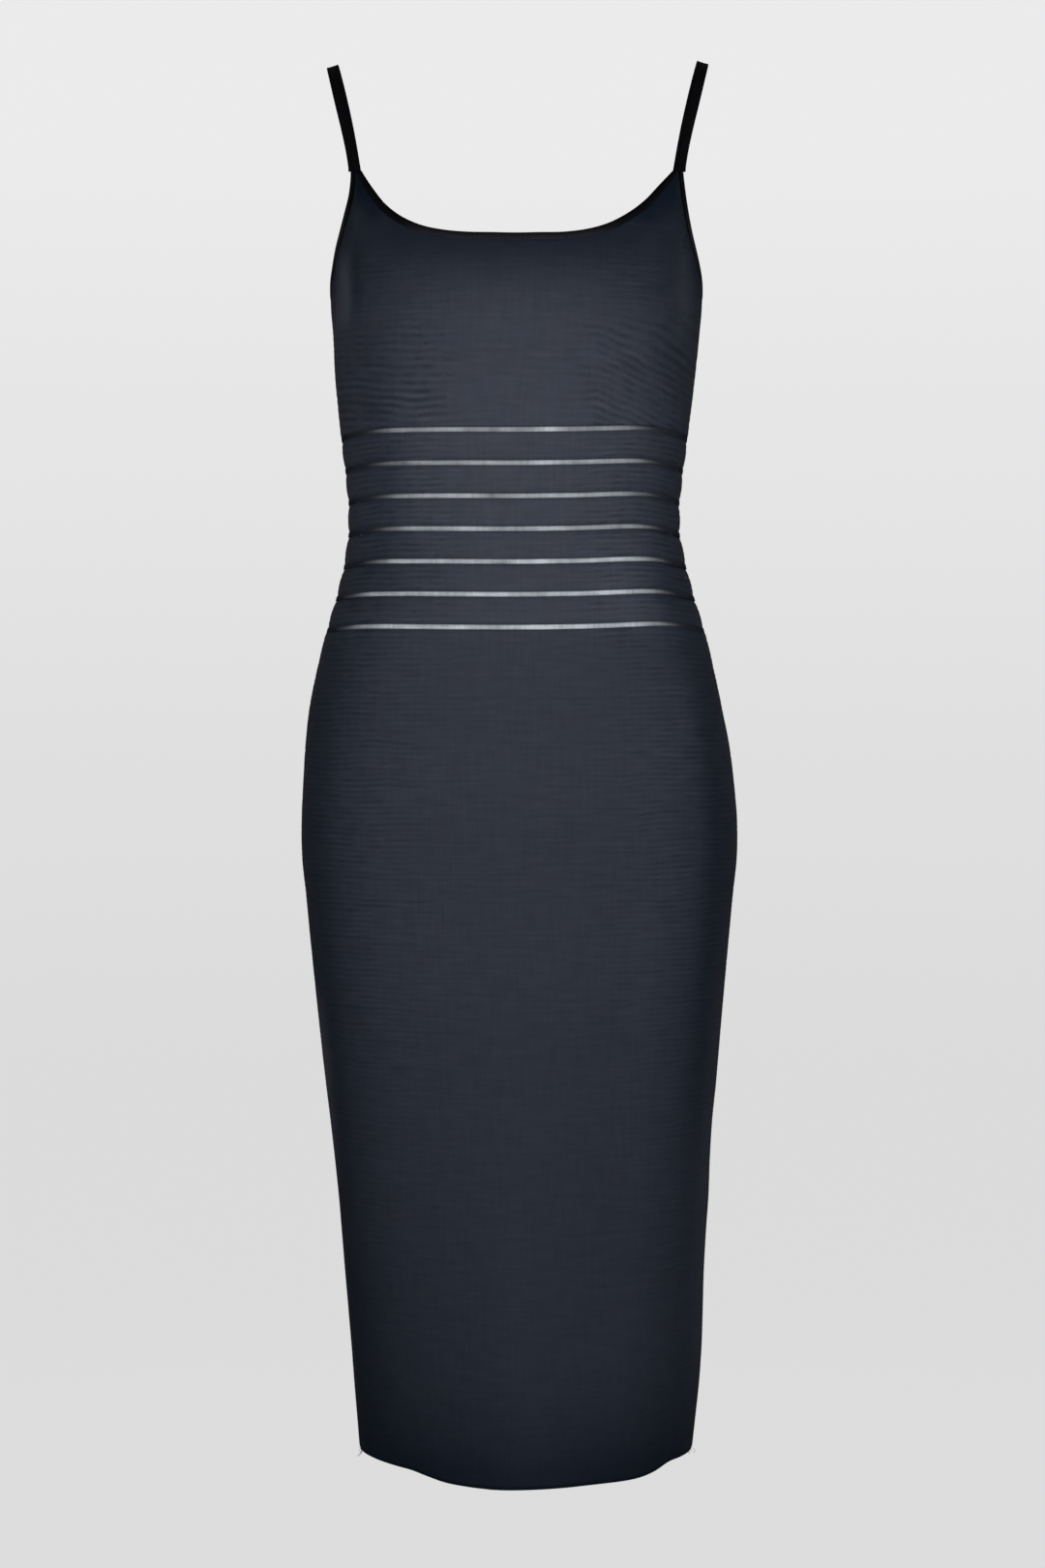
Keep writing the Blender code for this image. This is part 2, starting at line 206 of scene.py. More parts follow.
def wallGrid(nodeName, outward=outwardFromBody, seams=True,
             edgeKey=lambda p: p.z, startKey=lambda p: p.x):
    # the outer face of a wall as rows of points: the top edge first, each row from start to end
    deselectAll()
    twin = bpy.data.objects.new("twin", nodes[nodeName].data.copy())
    scene.collection.objects.link(twin)
    pick(twin)
    bpy.ops.object.mode_set(mode="EDIT")
    bpy.ops.mesh.select_all(action="SELECT")
    bpy.ops.mesh.remove_doubles(threshold=reading["merge"])
    bpy.ops.object.mode_set(mode="OBJECT")
    mesh = twin.data
    points = [vertex.co.copy() for vertex in mesh.vertices]
    near, uses = {}, {}
    for face in mesh.polygons:
        if face.normal.dot(outward(face.center)) < reading["facing"]:
            continue
        for a, b in face.edge_keys:
            near.setdefault(a, set()).add(b)
            near.setdefault(b, set()).add(a)
            uses[(a, b)] = uses.get((a, b), 0) + 1
    bpy.data.objects.remove(twin)
    bpy.data.meshes.remove(mesh)

    rim = {}
    for (a, b), count in uses.items():
        if count == 1:
            rim.setdefault(a, []).append(b)
            rim.setdefault(b, []).append(a)
    first = min(rim)
    loop = [first, rim[first][0]]
    while True:
        onward = [v for v in rim[loop[-1]] if v != loop[-2]][0]
        if onward == first:
            break
        loop.append(onward)

    def straightness(place):
        back = points[loop[place]] - points[loop[place - 1]]
        ahead = points[loop[(place + 1) % len(loop)]] - points[loop[place]]
        return back.normalized().dot(ahead.normalized())

    places = [i for i, v in enumerate(loop) if not seams or abs(points[v].y) < reading["atSeam"]]
    corners = sorted(sorted(places, key=straightness)[:4])
    sides = []
    for i, corner in enumerate(corners):
        end = corners[(i + 1) % 4]
        last = end + (len(loop) if end <= corner else 0)
        sides.append([loop[k % len(loop)] for k in range(corner, last + 1)])
    longest = max(len(side) for side in sides)
    edge = max((side for side in sides if len(side) == longest),
               key=lambda side: sum(edgeKey(points[v]) for v in side) / len(side))
    if startKey(points[edge[0]]) > startKey(points[edge[-1]]):
        edge.reverse()

    rows, seen = [edge], set(edge)
    while len(seen) < len(near):
        above = rows[-1]
        row = [v for v in rim[above[0]] if v not in seen]
        seen.add(row[0])
        for over in above[1:]:
            onward = [v for v in near[row[-1]] & near[over] if v not in seen]
            row.append(onward[0])
            seen.add(onward[0])
        rows.append(row)
    return np.array([[points[v] for v in row] for row in rows])


def readAlong(points, places):
    # a smooth line through points, read at places counted in points
    last = len(points) - 1
    if last > 1:
        before = 3 * points[0] - 3 * points[1] + points[2]
        after = 3 * points[-1] - 3 * points[-2] + points[-3]
    else:
        before = 2 * points[0] - points[1]
        after = 2 * points[-1] - points[-2]
    line = np.concatenate([before[None], points, after[None]])
    left = np.minimum(places.astype(int), last - 1)
    t = (places - left).reshape(-1, *[1] * (points.ndim - 1))
    p0, p1, p2, p3 = (line[left + i] for i in range(4))
    bend = 2 * p0 - 5 * p1 + 4 * p2 - p3 + t * (3 * (p1 - p2) + p3 - p0)
    return p1 + t / 2 * (p2 - p0 + t * bend)


def finerGrid(grid, rows, columnsEach, breaks=()):
    # smooth in both directions, with a corner kept at each break of the top edge
    columns = readAlong(grid, np.linspace(0, len(grid) - 1, rows + 1)).swapaxes(0, 1)
    last = len(columns) - 1
    places = np.linspace(0, last, last * columnsEach + 1)
    plain = [number for number in range(last + 1) if number not in breaks]
    smooth = readAlong(columns[plain], np.interp(places, plain, range(len(plain))))
    cuts = [0, *breaks, last]
    parts = []
    for start, end in zip(cuts, cuts[1:]):
        within = places[start * columnsEach:end * columnsEach + (end == last)] - start
        parts.append(readAlong(columns[start:end + 1], within))
    keep = np.clip(1 - np.linspace(0, 1, rows + 1) / reading["cornerShare"], 0, 1)[None, :, None]
    return (smooth + keep * (np.concatenate(parts) - smooth)).swapaxes(0, 1)


def normalsOf(points):
    across = np.gradient(points, axis=1)
    down = np.gradient(points, axis=0)
    normals = np.cross(down, across)
    return normals / np.linalg.norm(normals, axis=2)[:, :, None]


# finishes

knitFinish = {
    "yarn": (0.0880, 0.0985, 0.1325),
    "warmYarn": (0.0925, 0.0960, 0.1230),
    # the darker colour painted as shade in the stitches' grooves
    "groove": (0.0640, 0.0715, 0.0970),
    "unlit": (0.0000, 0.0068, 0.0175),
    "coursePitch": 0.00115,
    "walePitch": 0.00100,
    "streaks": 0.11,
    "roughness": 0.55,
    "gloss": 0.15,
    "fuzz": 0.04,
    "relief": 0.00012,
}

sheerFinish = {
    "thread": (0.85, 0.89, 0.98),
    # the darker colour painted as shade between the threads
    "between": (0.6375, 0.6675, 0.7350),
    "shadow": (0.030, 0.034, 0.046),
    "coursePitch": 0.010,
    "threadPitch": 0.0011,
    "streaks": 0.25,
    "roughness": 0.45,
    "gloss": 0.3,
    "fuzz": 0.0,
    "relief": 0.0002,
}

bindingFinish = {
    "yarn": (0.0740, 0.0720, 0.0940),
    # the darker colour painted as shade in the ribs' grooves
    "groove": (0.0400, 0.0390, 0.0510),
    "ribPitch": 0.0009,
    "walePitch": 0.0014,
    "streaks": 0.14,
    "roughness": 0.60,
    "gloss": 0.08,
    "fuzz": 0.02,
    "relief": 0.00015,
}

stitch = {
    "waleLean": 0.00035,
    "courseRound": 0.6,
    "waleRound": 0.5,
    # how often a streak comes along and up the cloth, its detail and its strength
    "courseStreaks": (38, 270, 2, 1.00),
    "waleStreaks": (330, 32, 1, 0.60),
    "blotches": (70, 95, 2, 0.45),
    "warmPatches": (24, 34, 1, 1.00),
    "warmth": 0.35,
    "fuzzRoughness": 0.4,
}


def makeStitchGroup():
    # fine knit on the piece's own map: courses along it and wales across it, with uneven yarn
    group = bpy.data.node_groups.new("knitStitch", "ShaderNodeTree")
    face = group.interface
    for name in ("Course Pitch", "Wale Pitch", "Streaks"):
        face.new_socket(name, in_out="INPUT", socket_type="NodeSocketFloat")
    for name in ("Height", "Unevenness", "Warmth"):
        face.new_socket(name, in_out="OUTPUT", socket_type="NodeSocketFloat")
    new, link = group.nodes.new, group.links.new
    given, out = new("NodeGroupInput"), new("NodeGroupOutput")
    flat = new("ShaderNodeUVMap")
    flat.uv_map = "clothMap"
    axes = new("ShaderNodeSeparateXYZ")
    link(flat.outputs["UV"], axes.inputs[0])

    def maths(operation, first, second=None):
        node = new("ShaderNodeMath")
        node.operation = operation
        for socket, value in zip(node.inputs, (first, second)):
            if isinstance(value, (int, float)):
                socket.default_value = value
            elif value is not None:
                link(value, socket)
        return node.outputs[0]

    def wave(coordinate, pitch):
        turns = maths("MULTIPLY", maths("DIVIDE", coordinate, pitch), math.pi)
        return maths("ABSOLUTE", maths("SINE", turns))

    def noise(name):
        # about -1 to 1, with its spots as long and as tall as the two scales say
        along, upward, detail, strength = stitch[name]
        spots = new("ShaderNodeTexNoise")
        stretch = new("ShaderNodeMapping")
        stretch.inputs["Scale"].default_value = (along, upward, 1)
        link(flat.outputs["UV"], stretch.inputs["Vector"])
        link(stretch.outputs["Vector"], spots.inputs["Vector"])
        spots.inputs["Scale"].default_value = 1.0
        spots.inputs["Detail"].default_value = detail
        return maths("MULTIPLY", maths("SUBTRACT", spots.outputs["Fac"], 0.5), 4 * strength)

    wale = wave(axes.outputs["X"], given.outputs["Wale Pitch"])
    lean = maths("MULTIPLY", wale, stitch["waleLean"])
    course = wave(maths("ADD", axes.outputs["Y"], lean), given.outputs["Course Pitch"])
    height = maths("MULTIPLY", maths("POWER", course, stitch["courseRound"]),
                   maths("POWER", wale, stitch["waleRound"]))
    spotted = maths("ADD", noise("waleStreaks"), noise("blotches"))
    together = maths("ADD", noise("courseStreaks"), spotted)
    unevenness = maths("ADD", maths("MULTIPLY", together, given.outputs["Streaks"]), 1.0)
    link(height, out.inputs["Height"])
    link(unevenness, out.inputs["Unevenness"])
    link(maths("ADD", noise("warmPatches"), stitch["warmth"]), out.inputs["Warmth"])
    return group


stitchGroup = makeStitchGroup()


def newFinish(name, settings):
    finish = bpy.data.materials.new(name)
    finish.use_nodes = True
    shader = finish.node_tree.nodes["Principled BSDF"]
    shader.inputs["Roughness"].default_value = settings["roughness"]
    shader.inputs["Specular IOR Level"].default_value = settings["gloss"]
    shader.inputs["Sheen Weight"].default_value = settings["fuzz"]
    shader.inputs["Sheen Roughness"].default_value = stitch["fuzzRoughness"]
    return finish, finish.node_tree, shader


def addStitches(tree, coursePitch, walePitch, streaks):
    stitches = tree.nodes.new("ShaderNodeGroup")
    stitches.node_tree = stitchGroup
    stitches.inputs["Course Pitch"].default_value = coursePitch
    stitches.inputs["Wale Pitch"].default_value = walePitch
    stitches.inputs["Streaks"].default_value = streaks
    return stitches


def mixColours(tree, factor, low, high):
    mix = tree.nodes.new("ShaderNodeMix")
    mix.data_type = "RGBA"
    tree.links.new(factor, mix.inputs["Factor"])
    for socket, colour in ((mix.inputs["A"], low), (mix.inputs["B"], high)):
        if isinstance(colour, tuple):
            socket.default_value = (*colour, 1)
        else:
            tree.links.new(colour, socket)
    return mix.outputs["Result"]


def unevenTone(tree, stitches):
    # the tone stored on the cloth, which carries its painted light and shade, varied by the yarn
    tone = tree.nodes.new("ShaderNodeAttribute")
    tone.attribute_name = "tone"
    varied = tree.nodes.new("ShaderNodeMath")
    varied.operation = "MULTIPLY"
    tree.links.new(tone.outputs["Fac"], varied.inputs[0])
    tree.links.new(stitches.outputs["Unevenness"], varied.inputs[1])
    return varied.outputs[0]


def finishCloth(tree, shader, stitches, low, high, relief):
    # from the low colour to the high one by the tone and its painted light and shade, with the
    # stitches standing out
    toned = mixColours(tree, unevenTone(tree, stitches), low, high)
    tree.links.new(toned, shader.inputs["Base Color"])
    bump = tree.nodes.new("ShaderNodeBump")
    bump.inputs["Strength"].default_value = 1.0
    bump.inputs["Distance"].default_value = relief
    tree.links.new(stitches.outputs["Height"], bump.inputs["Height"])
    tree.links.new(bump.outputs["Normal"], shader.inputs["Normal"])


def makeKnit():
    own = knitFinish
    finish, tree, shader = newFinish("charcoalKnit", own)
    stitches = addStitches(tree, own["coursePitch"], own["walePitch"], own["streaks"])
    yarn = mixColours(tree, stitches.outputs["Warmth"], own["yarn"], own["warmYarn"])
    # painted shade in the stitches' grooves
    stitched = mixColours(tree, stitches.outputs["Height"], own["groove"], yarn)
    finishCloth(tree, shader, stitches, own["unlit"], stitched, own["relief"])
    return finish


def makeSheer():
    own = sheerFinish
    finish, tree, shader = newFinish("silverySheer", own)
    stitches = addStitches(tree, own["coursePitch"], own["threadPitch"], own["streaks"])
    # painted shade between the threads
    threads = mixColours(tree, stitches.outputs["Height"], own["between"], own["thread"])
    finishCloth(tree, shader, stitches, own["shadow"], threads, own["relief"])
    return finish


def makeBinding():
    own = bindingFinish
    finish, tree, shader = newFinish("blackBinding", own)
    stitches = addStitches(tree, own["ribPitch"], own["walePitch"], own["streaks"])
    # painted shade in the ribs' grooves
    stitched = mixColours(tree, stitches.outputs["Height"], own["groove"], own["yarn"])
    finishCloth(tree, shader, stitches, (0, 0, 0), stitched, own["relief"])
    return finish


finishes = {
    "charcoal_knit": makeKnit(),
    "sheer_mesh": makeSheer(),
    "black_binding": makeBinding(),
}
print("finishes mixed")


# laying cloth on the frame

laying = {
    "edgeSegments": 2,
    "edgeAngle": math.radians(50),
    "smoothAngle": math.radians(48),
}


def smoothStep(low, high, value):
    t = np.clip((value - low) / (high - low), 0, 1)
    return t * t * (3 - 2 * t)


def atLeast(least, share):
    # a share from 0 to 1, raised to run from the least value to 1
    return least + (1 - least) * share


def layCloth(name, points, thickness, slot, tone, upMap=None, rounding=0.0):
    # a grid primitive whose points are moved onto the given ones, then thickened inwards
    rows, columns = points.shape[0] - 1, points.shape[1] - 1
    steps = np.linalg.norm(np.diff(points, axis=1), axis=2)
    along = np.concatenate([np.zeros((rows + 1, 1)), np.cumsum(steps, axis=1)], axis=1)
    along -= along[:, -1:] / 2
    deselectAll()
    bpy.ops.mesh.primitive_grid_add(x_subdivisions=columns, y_subdivisions=rows, size=1)
    piece = bpy.context.object
    piece.name = name
    mesh = piece.data
    flat = np.zeros(len(mesh.vertices) * 3)
    mesh.vertices.foreach_get("co", flat)
    flat = flat.reshape(-1, 3)
    column = np.rint((flat[:, 0] + 0.5) * columns).astype(int)
    row = rows - np.rint((flat[:, 1] + 0.5) * rows).astype(int)
    placed = points[row, column]
    mesh.vertices.foreach_set("co", placed.ravel())
    corners = np.zeros(len(mesh.loops), dtype=int)
    mesh.loops.foreach_get("vertex_index", corners)
    upward = points[:, :, 2] if upMap is None else upMap
    clothMap = np.stack([along[row, column], upward[row, column]], axis=1)[corners]
    mesh.uv_layers[0].name = "clothMap"
    mesh.uv_layers["clothMap"].data.foreach_set("uv", clothMap.ravel())
    shade = mesh.attributes.new("tone", "FLOAT", "POINT")
    shade.data.foreach_set("value", tone[row, column])
    mesh.update()
    wall = piece.modifiers.new("wall", "SOLIDIFY")
    wall.thickness = thickness
    wall.offset = -1
    bpy.ops.object.modifier_apply(modifier="wall")
    if rounding:
        soft = piece.modifiers.new("soft", "BEVEL")
        soft.width = rounding
        soft.segments = laying["edgeSegments"]
        soft.limit_method = "ANGLE"
        soft.angle_limit = laying["edgeAngle"]
        bpy.ops.object.modifier_apply(modifier="soft")
    bpy.ops.object.shade_smooth_by_angle(angle=laying["smoothAngle"])
    mesh.materials.append(finishes[slot])
    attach(piece, "root")
    return piece


ribs = {
    "pitch": 0.0042,
    "wornPitch": 0.0059,  # where the bodice rucks up over the waist
    "ruckFrom": -0.212,
    "depth": 0.00030,
    "rowsEach": 4,
    "grooveShade": 0.42,
    "crestLight": 0.30,
    "run": 0.012,
    "wander": 0.07,
    "waves": ((95, 61, 1.3), (163, -142, 0.4)),  # turns to a metre across and up, and start
    # how much of their depth the ribs keep over the front and back, and at the hem
    "flatShare": 0.16,
    "hemShare": 0.35,
    "hemFade": (-0.90, -0.60),
    # heights between which they rise below the neck: first a little, then in full
    "neckFades": ((-0.14, -0.17, 0.30), (-0.20, -0.235, 0.70)),
    # how far from the middle they lie flat and where they are full, and how much further on the hips
    "hips": (-0.42, -0.50),
    "flatUntil": (0.030, 0.015),
    "fullFrom": (0.075, 0.055),
}

finestRibs = [
    # beside the straps: middle (x, z), how far they reach each way, strength
    ((0.094, -0.180), (0.018, 0.022), 0.90),
    ((-0.106, -0.171), (0.010, 0.012), 0.70),
]

mottle = {
    "rows": 512,
    "columns": 64,
    "start": 40,
    "layers": ((1.0, 0.65, 0), (0.4, 0.35, 31)),  # share of a rib's run, weight, shift
    # weakest share of what is mottled, and the two strengths between which it rises
    "stretches": (0.30, 0.30, 0.65),
    "grooves": (0.35, 0.10, 0.80),
    "crests": (0.25, 0.35, 0.90),
    "stretchRibs": (0.55, 90),  # how fast and from where the stretches change from rib to rib
    "stretchRuns": (2.2, 0.5),  # and along x and z
    "crestRibs": 200.5,
}

panels = {
    "thickness": 0.0010,
    "seamRoll": 0.0004,
    "seamReach": 0.0035,
    "tuck": 0.00025,
    "lap": (0.0002, 0.0002),  # how far a side edge reaches over the gap at its seam
    "columnsEach": 3,
    "creaseIn": (-0.15, 0.25),
    "creaseOut": (0.75, 1.15),
    "rolledEdge": 0.0015,  # how wide an edge beside a stripe rolls in
    "darkEdge": 0.7,  # the share of its tone that such an edge keeps under its painted shade
}

dye = np.random.RandomState(11).random_sample((mottle["rows"], mottle["columns"]))


def fullness(points):
    # ribs lie flat where the knit is stretched over the front and back, and towards the hem
    x, z = points[:, :, 0], points[:, :, 2]
    onHips = smoothStep(*ribs["hips"], z)
    inner, outer = (near + further * onHips for near, further in (ribs["flatUntil"], ribs["fullFrom"]))
    spread = atLeast(ribs["flatShare"], smoothStep(inner, outer, np.abs(x)))
    upper = sum(share * smoothStep(start, end, z) for start, end, share in ribs["neckFades"])
    full = spread * upper * atLeast(ribs["hemShare"], smoothStep(*ribs["hemFade"], z))
    for (middle, height), (wide, tall), strength in finestRibs:
        full += strength * np.exp(-((x - middle) / wide) ** 2 - ((z - height) / tall) ** 4)
    return full


def patches(ribNumber, along):
    # an uneven strength from 0 to 1 that changes along each rib and from rib to rib
    rib = np.floor(ribNumber).astype(int) % mottle["rows"]
    total = np.zeros(along.shape)
    for run, weight, shift in mottle["layers"]:
        place = along / (ribs["run"] * run) + mottle["start"]
        left = np.floor(place).astype(int)
        t = smoothStep(0, 1, place - left)
        here, onward = (dye[rib, (left + shift + step) % mottle["columns"]] for step in (0, 1))
        total += weight * ((1 - t) * here + t * onward)
    return total


def mottled(kind, ribNumber, along):
    least, low, high = mottle[kind]
    return atLeast(least, smoothStep(low, high, patches(ribNumber, along)))


def ribbing(points, level, calm=1.0):
    # height of uneven level ribs, and their tone with painted shade in the grooves and painted light
    # on the crests
    x, z = points[:, :, 0], points[:, :, 2]
    wander = sum(np.sin(across * x + up * z + start) for across, up, start in ribs["waves"])
    turns = level / ribs["pitch"] + ribs["wander"] * wander
    crest = (1 + np.cos(2 * math.pi * turns)) / 2
    faster, first = mottle["stretchRibs"]
    acrossRun, upRun = mottle["stretchRuns"]
    full = fullness(points) * calm
    full *= mottled("stretches", faster * turns + first, acrossRun * x + upRun * z)
    groove = full * mottled("grooves", turns, x) * (1 - crest)
    ridge = full * mottled("crests", turns + mottle["crestRibs"], x) * crest
    return -ribs["depth"] * groove, 1 - ribs["grooveShade"] * groove + ribs["crestLight"] * ridge


def seamHeight(points):
    # the cloth rolls in slightly where it is joined at the side seams
    fromSeam = np.abs(points[:, :, 1])
    return -panels["seamRoll"] * (1 - smoothStep(0, panels["seamReach"], fromSeam))


creases = [
    # face, from (x, z), to (x, z), width, height (a trough is below nought)
    ("front", (-0.126, -0.182), (-0.070, -0.205), 0.0070, -0.0005),
    ("front", (-0.130, -0.196), (-0.085, -0.226), 0.0090, 0.0004),
    ("front", (0.124, -0.180), (0.066, -0.206), 0.0080, -0.0005),
    ("front", (0.129, -0.197), (0.090, -0.231), 0.0090, 0.0004),
    ("front", (-0.104, -0.118), (-0.078, -0.158), 0.0060, -0.0004),
    ("front", (0.104, -0.116), (0.082, -0.160), 0.0060, -0.0004),
    ("front", (-0.160, -0.470), (-0.095, -0.476), 0.0060, -0.0004),
    ("front", (0.158, -0.478), (0.085, -0.470), 0.0070, -0.0005),
    ("front", (0.164, -0.505), (0.110, -0.494), 0.0060, 0.0003),
    ("front", (-0.168, -0.560), (-0.118, -0.548), 0.0080, -0.0004),
    ("front", (-0.027, -1.112), (-0.030, -1.052), 0.0035, -0.0006),
    ("front", (-0.021, -1.112), (-0.023, -1.060), 0.0035, 0.0003),
    ("front", (-0.052, -1.112), (-0.058, -1.030), 0.0040, -0.0003),
    ("front", (-0.083, -1.105), (-0.092, -0.990), 0.0050, -0.0003),
    ("front", (0.098, -1.104), (0.080, -1.080), 0.0050, -0.0005),
    ("back", (-0.128, -0.186), (-0.070, -0.214), 0.0080, -0.0005),
    ("back", (0.126, -0.184), (0.074, -0.216), 0.0080, -0.0005),
    ("back", (-0.080, -0.330), (0.060, -0.336), 0.0070, -0.0006),
    ("back", (-0.050, -0.380), (0.085, -0.374), 0.0060, -0.0005),
    ("back", (-0.110, -0.452), (-0.030, -0.462), 0.0080, -0.0006),
    ("back", (0.105, -0.456), (0.020, -0.463), 0.0080, -0.0006),
    ("back", (-0.165, -0.640), (-0.100, -0.668), 0.0100, -0.0006),
    ("back", (0.165, -0.640), (0.095, -0.672), 0.0100, -0.0006),
]


def creaseHeight(points, face):
    # each fades in over its first stretch and out over its last
    total = np.zeros(points.shape[:2])
    for side, start, end, width, height in creases:
        if side != face:
            continue
        start, end = np.array(start), np.array(end)
        run = end - start
        flat = points[:, :, [0, 2]] - start
        t = (flat @ run) / (run @ run)
        away = np.linalg.norm(flat - np.clip(t, 0, 1)[:, :, None] * run, axis=2)
        ends = smoothStep(*panels["creaseIn"], t) * (1 - smoothStep(*panels["creaseOut"], t))
        total += height * ends * np.exp(-(away / width) ** 2)
    return total


def facingOut(points):
    # columns run so that the grid's normals point away from the body
    middle = points[points.shape[0] // 2, points.shape[1] // 2]
    normal = normalsOf(points)[points.shape[0] // 2, points.shape[1] // 2]
    return points if normal @ np.array([middle[0], middle[1], 0]) > 0 else points[:, ::-1]


def longer(points, reach):
    # the first and last columns moved outwards along their rows
    reached = points.copy()
    for end, before, further in ((0, 1, reach[0]), (-1, -2, reach[1])):
        onward = points[:, end] - points[:, before]
        reached[:, end] += further * onward / np.linalg.norm(onward, axis=1)[:, None]
    return reached


def raised(points, height):
    return points + normalsOf(points) * height[:, :, None]


paintedLightByHeight = [
    # height, how light the knit is painted there: painted light and shade falling off towards the neck
    # and the hem, the stretched knit a little lighter
    (-0.150, 0.33),
    (-0.164, 0.40),
    (-0.186, 0.49),
    (-0.201, 0.60),
    (-0.219, 0.72),
    (-0.260, 0.82),
    (-0.300, 0.84),
    (-0.350, 0.83),
    (-0.385, 0.79),
    (-0.438, 0.75),
    (-0.456, 0.575),
    (-0.480, 0.545),
    (-0.511, 0.51),
    (-0.555, 0.53),
    (-0.600, 0.485),
    (-0.700, 0.485),
    (-0.760, 0.445),
    (-0.820, 0.43),
    (-0.940, 0.40),
    (-1.000, 0.385),
    (-1.036, 0.34),
    (-1.073, 0.24),
    (-1.091, 0.16),
    (-1.108, 0.12),
]

lightAndShadeStrokes = [
    # painted light and shade: face, middle (share of the half width, height), how far it reaches each
    # way, how much lighter
    # the skirt, painted lighter over the thighs and with painted shade before its sides
    ("both", (-0.62, -0.80), (0.16, 0.36), 0.18),
    ("both", (-0.38, -0.82), (0.12, 0.30), 0.07),
    ("both", (0.62, -0.80), (0.16, 0.36), 0.18),
    ("both", (-0.92, -0.72), (0.07, 0.32), -0.28),
    ("both", (-0.88, -0.80), (0.06, 0.34), -0.10),
    ("both", (0.90, -0.64), (0.08, 0.22), -0.46),
    # its side edges, which catch light from the wall behind
    ("both", (0.98, -0.90), (0.05, 0.18), 0.80),
    ("both", (-0.97, -0.81), (0.04, 0.07), 3.00),
    # painted light and shade above the hem
    ("both", (-0.90, -1.03), (0.12, 0.10), -0.25),
    ("both", (-0.75, -1.04), (0.15, 0.09), -0.12),
    ("both", (0.45, -1.03), (0.20, 0.09), 0.09),
    # painted light and shade over the waist and the hips
    ("front", (-0.78, -0.33), (0.14, 0.13), -0.30),
    ("front", (0.93, -0.32), (0.19, 0.14), -0.36),
    ("back", (-0.82, -0.33), (0.14, 0.13), -0.30),
    ("back", (0.82, -0.33), (0.14, 0.13), -0.30),
    ("front", (-0.62, -0.408), (0.28, 0.034), -0.18),
    ("front", (0.55, -0.415), (0.16, 0.03), 0.18),
    ("front", (0.80, -0.418), (0.07, 0.022), -0.28),
    ("front", (0.75, -0.515), (0.13, 0.035), 0.13),
    # painted light on the ridges and painted shade in the troughs beside the armholes
    ("front", (-0.922, -0.180), (0.032, 0.030), 1.40),
    ("front", (-0.975, -0.206), (0.035, 0.030), 0.35),
    ("front", (-0.850, -0.176), (0.028, 0.024), -0.28),
    ("front", (0.885, -0.182), (0.045, 0.030), 0.50),
    # painted shade under the ends of the neck binding
    ("front", (-0.745, -0.123), (0.050, 0.010), -0.50),
    ("front", (0.665, -0.126), (0.070, 0.010), -0.60),
]


def paintedLightAndShade(points, face):
    # painted light and shade as soft strokes over the even tone, each fading to nothing around it
    x, z = points[:, :, 0], points[:, :, 2]
    sideways = x / np.abs(x).max(axis=1, keepdims=True)
    light = np.ones_like(x)
    for side, (middle, height), (wide, tall), strength in lightAndShadeStrokes:
        if side in (face, "both"):
            near = np.exp(-((sideways - middle) / wide) ** 2 - ((z - height) / tall) ** 4)
            light *= 1 + strength * near
    return light


peaks = {
    "reach": (0.075, 0.095),  # from where to where across the shade grows
    # painted shade: side, how dark the peak under that strap is, where it is darkest and where it has
    # faded
    "paintedShades": ((-1, 0.84, -0.109, -0.130), (1, 0.64, -0.112, -0.138)),
}


def paintedClothShading(points, face):
    # painted light and shade: lighter where the knit is stretched and where more light falls, with
    # painted shade towards the hem and up to the straps
    levels = [level for level, _ in reversed(paintedLightByHeight)]
    lights = [light for _, light in reversed(paintedLightByHeight)]
    x, z = points[:, :, 0], points[:, :, 2]
    tone = np.interp(z, levels, lights) * paintedLightAndShade(points, face)
    for side, depth, darkest, faded in peaks["paintedShades"]:
        tone *= 1 - depth * smoothStep(faded, darkest, z) * smoothStep(*peaks["reach"], side * x)
    return tone


def tuckedUnder(points, reach):
    # more rows past the top edge, square to it, that a folded binding then covers
    edge = points[0]
    normals = normalsOf(points)[0]
    outward = np.cross(np.gradient(edge, axis=0), normals)
    outward /= np.linalg.norm(outward, axis=1)[:, None]
    middle = len(edge) // 2
    if outward[middle] @ (edge[middle] - points[-1, middle]) < 0:
        outward = -outward
    sunk = edge - normals * panels["tuck"]
    return np.stack([sunk + outward * share * reach[:, None] for share in (1, 0.3)])


bodice = {
    "rows": 164,
    "columnsEach": 8,
    "peaks": (7, 23),
    "peakFromMiddle": 8,
    "droopOver": (-0.19, -0.25),
    "droops": ((1, 0.060, 0.40), (-1, 0.080, -0.12)),  # side, from how far out, how steep
    "calmFrom": (1.60, 0.6),  # ribs that are too steep for the columns to draw lie flat
    # painted shade below the neckline: the share left at its edge, and the depths between which it
    # fades
    "neckShade": (0.50, -0.01, 0.045),
    "armholeFrom": (0.127, 0.130),
    # painted shade beside the armhole seam: how dark, and the distances between which it fades
    "armholeShade": (0.5, 0.002, 0.008),
    "lowerRoll": 0.0004,
    "underBinding": 0.0020,
    "underPeak": (0.15, 4),  # the share left at a peak, and how many columns to its full reach
    # painted shade on the rows tucked under the binding: the share of the edge's tone they keep
    "underBindingShade": 0.5,
}


def droop(points):
    # the ribs sag to the wearer's left over the waist
    x, z = points[:, :, 0], points[:, :, 2]
    return smoothStep(*bodice["droopOver"], z) * sum(
        steep * np.clip(side * x - start, 0, None) for side, start, steep in bodice["droops"])


